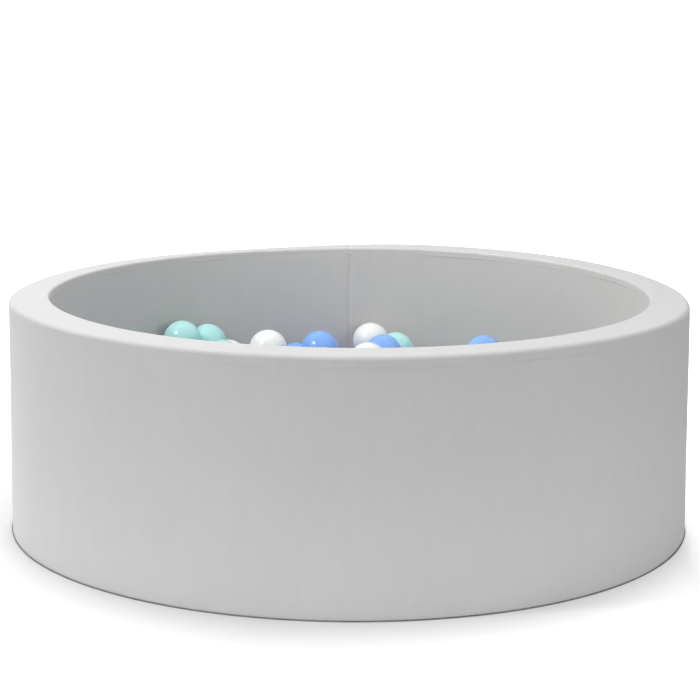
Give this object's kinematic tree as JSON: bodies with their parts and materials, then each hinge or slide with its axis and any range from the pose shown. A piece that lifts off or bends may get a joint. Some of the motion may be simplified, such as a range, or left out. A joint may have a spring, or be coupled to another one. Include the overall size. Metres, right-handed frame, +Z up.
{
  "type": "ball pit",
  "caption": "Round foam ball pit in soft grey fabric covers, with a padded floor mat and a heap of plastic play balls at the back.",
  "frame": {"origin": "middle of the underside, on the floor", "axes": "+Z up along the axis of the pit; the front, seen in the picture, faces -Y; the cover zip runs round the back, on the +Y side"},
  "size_m": [0.9, 0.9, 0.31],
  "materials": {
    "velour": "soft grey knit velour",
    "underside": "plain non-slip cloth",
    "foam": "open-cell foam, stood in for by fabric",
    "zip_cloth": "woven zip tape",
    "zip_plastic": "nylon coil",
    "zip_metal": "satin nickel plate",
    "ball_mint": "smooth moulded plastic",
    "ball_blue": "smooth moulded plastic",
    "ball_white": "smooth moulded plastic"
  },
  "bodies": {
    "pit": {"outer_wall_cover": "velour", "rim_cover": "velour", "inner_wall_cover": "velour", "base_cover": "underside", "foam_wall_1": "foam", "foam_wall_2": "foam", "foam_wall_3": "foam", "foam_wall_4": "foam", "zip_tape_upper": "zip_cloth", "zip_tape_lower": "zip_cloth", "zip_coil_upper": "zip_plastic", "zip_coil_lower": "zip_plastic", "zip_stop_start": "zip_metal", "zip_stop_end": "zip_metal"},
    "slider": {"zip_slider": "zip_metal"},
    "pull": {"zip_pull": "zip_metal"},
    "mat": {"mat_foam": "foam", "mat_top_cover": "velour", "mat_bottom_cover": "underside", "mat_piping": "velour"},
    "bed": {"ball_bed": "ball_white"},
    "loose_ball_01": {"ball_01": "ball_mint"},
    "loose_ball_02": {"ball_02": "ball_blue"},
    "loose_ball_03": {"ball_03": "ball_white"},
    "loose_ball_04": {"ball_04": "ball_mint"},
    "loose_ball_05": {"ball_05": "ball_blue"},
    "loose_ball_06": {"ball_06": "ball_white"},
    "loose_ball_07": {"ball_07": "ball_mint"},
    "loose_ball_08": {"ball_08": "ball_blue"},
    "loose_ball_09": {"ball_09": "ball_white"},
    "loose_ball_10": {"ball_10": "ball_mint"},
    "loose_ball_11": {"ball_11": "ball_blue"},
    "loose_ball_12": {"ball_12": "ball_white"},
    "loose_ball_13": {"ball_13": "ball_mint"},
    "loose_ball_14": {"ball_14": "ball_blue"},
    "loose_ball_15": {"ball_15": "ball_white"},
    "loose_ball_16": {"ball_16": "ball_mint"},
    "loose_ball_17": {"ball_17": "ball_blue"},
    "loose_ball_18": {"ball_18": "ball_white"},
    "loose_ball_19": {"ball_19": "ball_mint"},
    "loose_ball_20": {"ball_20": "ball_blue"},
    "loose_ball_21": {"ball_21": "ball_white"},
    "loose_ball_22": {"ball_22": "ball_mint"},
    "loose_ball_23": {"ball_23": "ball_blue"},
    "loose_ball_24": {"ball_24": "ball_white"}
  },
  "joints": [
    {"name": "slider_run", "type": "hinge", "parent": "pit", "child": "slider", "pos_m": [0, 0, 0.022], "axis": [0, 0, 1], "range_deg": [0, 153]},
    {"name": "pull_flip", "type": "hinge", "parent": "slider", "child": "pull", "pos_m": [0.4393, 0.10518, 0.022], "axis": [0, 0, -1], "range_deg": [0, 160]},
    {"name": "mat_lift", "type": "slide", "parent": "pit", "child": "mat", "axis": [0, 0, 1], "range_m": [0, 0.32]},
    {"name": "bed_lift", "type": "slide", "parent": "mat", "child": "bed", "axis": [0, 0, 1], "range_m": [0, 0.3]},
    {"name": "ball_01_lift", "type": "slide", "parent": "bed", "child": "loose_ball_01", "axis": [0, 0, 1], "range_m": [0, 0.25]},
    {"name": "ball_02_lift", "type": "slide", "parent": "bed", "child": "loose_ball_02", "axis": [0, 0, 1], "range_m": [0, 0.25]},
    {"name": "ball_03_lift", "type": "slide", "parent": "bed", "child": "loose_ball_03", "axis": [0, 0, 1], "range_m": [0, 0.25]},
    {"name": "ball_04_lift", "type": "slide", "parent": "bed", "child": "loose_ball_04", "axis": [0, 0, 1], "range_m": [0, 0.25]},
    {"name": "ball_05_lift", "type": "slide", "parent": "bed", "child": "loose_ball_05", "axis": [0, 0, 1], "range_m": [0, 0.25]},
    {"name": "ball_06_lift", "type": "slide", "parent": "bed", "child": "loose_ball_06", "axis": [0, 0, 1], "range_m": [0, 0.25]},
    {"name": "ball_07_lift", "type": "slide", "parent": "bed", "child": "loose_ball_07", "axis": [0, 0, 1], "range_m": [0, 0.25]},
    {"name": "ball_08_lift", "type": "slide", "parent": "bed", "child": "loose_ball_08", "axis": [0, 0, 1], "range_m": [0, 0.25]},
    {"name": "ball_09_lift", "type": "slide", "parent": "bed", "child": "loose_ball_09", "axis": [0, 0, 1], "range_m": [0, 0.25]},
    {"name": "ball_10_lift", "type": "slide", "parent": "bed", "child": "loose_ball_10", "axis": [0, 0, 1], "range_m": [0, 0.25]},
    {"name": "ball_11_lift", "type": "slide", "parent": "bed", "child": "loose_ball_11", "axis": [0, 0, 1], "range_m": [0, 0.25]},
    {"name": "ball_12_lift", "type": "slide", "parent": "bed", "child": "loose_ball_12", "axis": [0, 0, 1], "range_m": [0, 0.25]},
    {"name": "ball_13_lift", "type": "slide", "parent": "bed", "child": "loose_ball_13", "axis": [0, 0, 1], "range_m": [0, 0.25]},
    {"name": "ball_14_lift", "type": "slide", "parent": "bed", "child": "loose_ball_14", "axis": [0, 0, 1], "range_m": [0, 0.25]},
    {"name": "ball_15_lift", "type": "slide", "parent": "bed", "child": "loose_ball_15", "axis": [0, 0, 1], "range_m": [0, 0.25]},
    {"name": "ball_16_lift", "type": "slide", "parent": "bed", "child": "loose_ball_16", "axis": [0, 0, 1], "range_m": [0, 0.25]},
    {"name": "ball_17_lift", "type": "slide", "parent": "bed", "child": "loose_ball_17", "axis": [0, 0, 1], "range_m": [0, 0.25]},
    {"name": "ball_18_lift", "type": "slide", "parent": "bed", "child": "loose_ball_18", "axis": [0, 0, 1], "range_m": [0, 0.25]},
    {"name": "ball_19_lift", "type": "slide", "parent": "bed", "child": "loose_ball_19", "axis": [0, 0, 1], "range_m": [0, 0.25]},
    {"name": "ball_20_lift", "type": "slide", "parent": "bed", "child": "loose_ball_20", "axis": [0, 0, 1], "range_m": [0, 0.25]},
    {"name": "ball_21_lift", "type": "slide", "parent": "bed", "child": "loose_ball_21", "axis": [0, 0, 1], "range_m": [0, 0.25]},
    {"name": "ball_22_lift", "type": "slide", "parent": "mat", "child": "loose_ball_22", "axis": [0, 0, 1], "range_m": [0, 0.25]},
    {"name": "ball_23_lift", "type": "slide", "parent": "mat", "child": "loose_ball_23", "axis": [0, 0, 1], "range_m": [0, 0.25]},
    {"name": "ball_24_lift", "type": "slide", "parent": "mat", "child": "loose_ball_24", "axis": [0, 0, 1], "range_m": [0, 0.25]}
  ]
}
